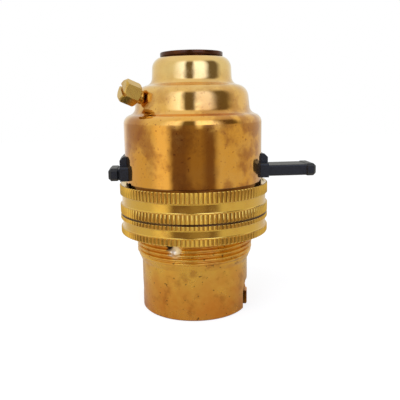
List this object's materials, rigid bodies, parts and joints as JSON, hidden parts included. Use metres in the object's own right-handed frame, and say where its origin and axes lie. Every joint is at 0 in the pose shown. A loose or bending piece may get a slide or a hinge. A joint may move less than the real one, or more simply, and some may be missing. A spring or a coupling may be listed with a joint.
{
  "type": "lamp holder with push switch",
  "caption": "Brass bayonet lamp holder with a domed cover, knurled rings, a slotted lamp barrel and a black push bar switch through its dome.",
  "frame": {"origin": "centre of the lamp end's rim, on the axis of the bayonet socket", "axes": "+Z along the holder's axis towards the cord entry, +X along the push bar towards its long end at rest"},
  "size_m": [0.0489, 0.0352, 0.06],
  "materials": {
    "brass_spun": "polished and tarnished",
    "brass_dark": "dull, darkened",
    "brass_turned": "turned",
    "brass_strip": "rolled strip",
    "brass_barrel": "worn, mottled",
    "brass_knurled": "knurled and polished",
    "black_moulding": "moulded, semi-gloss",
    "brown_moulding": "moulded phenolic",
    "steel_plated": "plated",
    "spring_steel": "drawn wire"
  },
  "bodies": {
    "holder": {"dome_cover": "brass_spun", "entry_bush": "brass_dark", "earth_boss": "brass_turned", "earth_screw": "brass_turned", "bar_guide_right": "black_moulding", "bar_guide_left": "black_moulding", "contact_block": "brown_moulding", "switch_housing": "brown_moulding", "housing_screws": "steel_plated", "terminal_block_line": "brass_turned", "terminal_block_neutral": "brass_turned", "terminal_screw_line": "steel_plated", "terminal_screw_neutral": "steel_plated", "line_contact": "brass_strip", "switched_contact": "brass_strip", "neutral_strip": "brass_strip", "plunger_sleeve_line": "brass_turned", "plunger_sleeve_neutral": "brass_turned", "plunger_spring_line": "spring_steel", "plunger_spring_neutral": "spring_steel", "rocker_pin": "spring_steel", "detent_ball": "spring_steel", "detent_spring": "spring_steel"},
    "push_bar": {"push_bar": "black_moulding"},
    "rocker": {"rocker": "black_moulding", "rocker_bridge": "brass_strip"},
    "plunger_line": {"plunger_line": "brass_turned"},
    "plunger_neutral": {"plunger_neutral": "brass_turned"},
    "skirt": {"bayonet_skirt": "brass_barrel"},
    "union_ring": {"union_ring": "brass_knurled"},
    "shade_ring": {"shade_ring": "brass_knurled"}
  },
  "joints": [
    {"name": "push_bar_slide", "type": "slide", "parent": "holder", "child": "push_bar", "axis": [1, 0, 0], "range_m": [-0.00905, 0]},
    {"name": "rocker_tilt", "type": "hinge", "parent": "holder", "child": "rocker", "pos_m": [0, 0, 0.0412], "axis": [0, 1, 0], "range_deg": [0, 64.5]},
    {"name": "plunger_line_slide", "type": "slide", "parent": "holder", "child": "plunger_line", "axis": [0, 0, 1], "range_m": [0, 0.004], "stiffness_N_per_m": 800, "deforming": ["plunger_spring_line"]},
    {"name": "plunger_neutral_slide", "type": "slide", "parent": "holder", "child": "plunger_neutral", "axis": [0, 0, 1], "range_m": [0, 0.004], "stiffness_N_per_m": 800, "deforming": ["plunger_spring_neutral"]},
    {"name": "skirt_release", "type": "slide", "parent": "holder", "child": "skirt", "axis": [0, 0, -1], "range_m": [0, 0.0037]},
    {"name": "union_ring_turn", "type": "hinge", "parent": "skirt", "child": "union_ring", "pos_m": [0, 0, 0.0269], "axis": [0, 0, -1], "range_deg": [0, 1157]},
    {"name": "shade_ring_travel", "type": "slide", "parent": "skirt", "child": "shade_ring", "axis": [0, 0, -1], "range_m": [0, 0.0092]}
  ],
  "couplings": [
    {"joint": "rocker_tilt", "follows": "push_bar_slide", "rad_per_m": -123.49},
    {"joint": "skirt_release", "follows": "union_ring_turn", "m_per_rad": 0.00016844}
  ]
}
